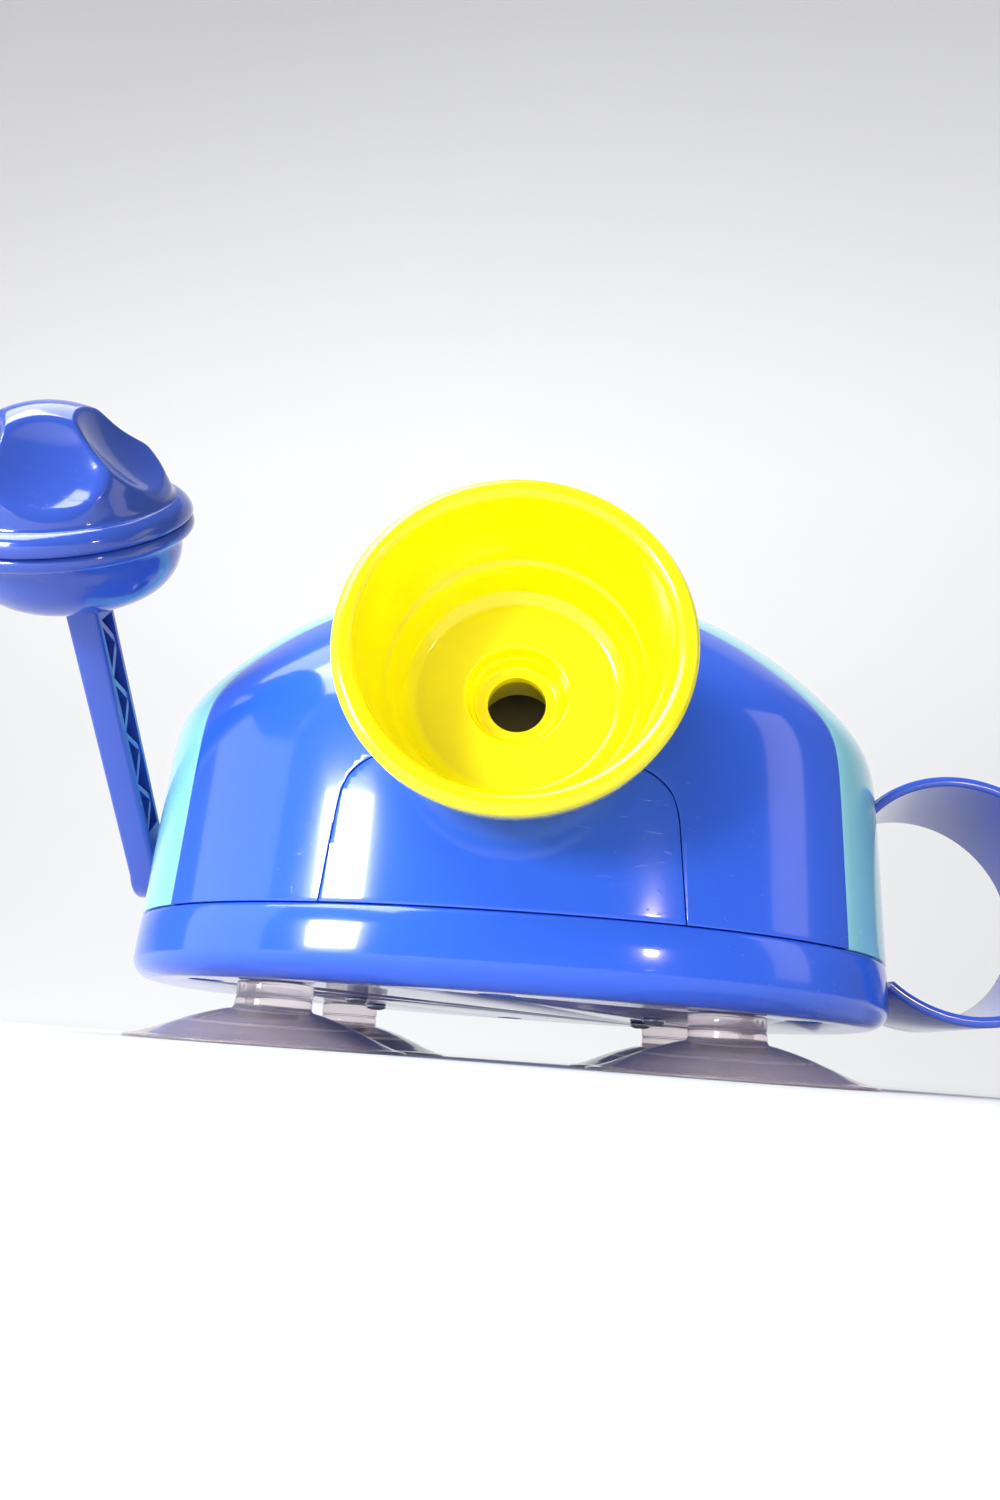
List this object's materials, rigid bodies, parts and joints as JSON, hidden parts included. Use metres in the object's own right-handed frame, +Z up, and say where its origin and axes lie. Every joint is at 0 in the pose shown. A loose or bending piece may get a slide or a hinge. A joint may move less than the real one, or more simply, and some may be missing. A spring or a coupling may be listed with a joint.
{
  "type": "tape dispenser",
  "caption": "Lever-operated tape dispenser with a domed plastic case, a cup-shaped front funnel, a knobbed side lever, a strap handle and suction-cup feet",
  "frame": {"origin": "middle of the whole object's box, seen from above, at the level of the suction cups' rims", "axes": "+Z up, the funnel faces -Y, the lever is at -X and the handle at +X"},
  "size_m": [0.2252, 0.1624, 0.1079],
  "materials": {
    "blue_plastic": "glossy moulded",
    "violet_plastic": "glossy moulded",
    "cyan_plastic": "glossy moulded",
    "yellow_plastic": "glossy moulded",
    "white_plastic": "moulded",
    "clear_vinyl": "clear soft vinyl",
    "black_rubber": "ribbed",
    "core_board": "wound board",
    "tape_film": "wound clear film",
    "steel": "bright"
  },
  "bodies": {
    "case": {"base_tray": "blue_plastic", "front_shell": "blue_plastic", "mid_shell": "cyan_plastic", "rear_shell": "blue_plastic", "front_panel": "blue_plastic", "funnel": "yellow_plastic", "funnel_ring": "white_plastic", "suction_cup_front_left": "clear_vinyl", "suction_cup_front_right": "clear_vinyl", "suction_cup_rear_left": "clear_vinyl", "suction_cup_rear_right": "clear_vinyl", "shaft_bush": "white_plastic", "return_spring": "steel", "frame_left": "white_plastic", "frame_right": "white_plastic", "spindle": "steel", "pressure_shaft": "steel", "tape_mouth": "yellow_plastic", "cutter_blade": "steel", "handle_strap": "violet_plastic", "handle_screws": "steel", "base_screws": "steel", "frame_screws": "steel"},
    "lever": {"lever_arm": "violet_plastic", "knob_bottom": "violet_plastic", "knob_top": "violet_plastic", "knob_screw": "steel", "lever_shaft": "steel", "sector_gear": "white_plastic"},
    "feed": {"feed_shaft": "steel", "feed_pinion": "white_plastic", "feed_roller": "black_rubber", "shaft_clips": "steel"},
    "presser": {"pressure_roller": "white_plastic"},
    "reel": {"tape_hub": "white_plastic", "tape_core": "core_board", "tape_roll": "tape_film"}
  },
  "joints": [
    {"name": "lever_swing", "type": "hinge", "parent": "case", "child": "lever", "pos_m": [-0.09377, 0.00531, 0.0374], "axis": [-1, 0, 0], "range_deg": [0, 75], "stiffness_Nm_per_rad": 0.03, "springref_deg": -28.65, "deforming": ["return_spring"]},
    {"name": "feed_turn", "type": "hinge", "parent": "case", "child": "feed", "pos_m": [-0.00737, 0.03429, 0.04516], "axis": [1, 0, 0], "range_deg": [0, 175.2]},
    {"name": "presser_turn", "type": "hinge", "parent": "case", "child": "presser", "pos_m": [-0.00737, 0.04284, 0.05535], "axis": [-1, 0, 0], "range_deg": [0, 280.2]},
    {"name": "reel_turn", "type": "hinge", "parent": "case", "child": "reel", "pos_m": [-0.00737, 0.01331, 0.07], "axis": [1, 0, 0], "range_deg": [0, 63.7]}
  ],
  "couplings": [
    {"joint": "feed_turn", "follows": "lever_swing", "ratio": 2.3333},
    {"joint": "presser_turn", "follows": "lever_swing", "ratio": 3.7333},
    {"joint": "reel_turn", "follows": "lever_swing", "ratio": 0.84849}
  ]
}
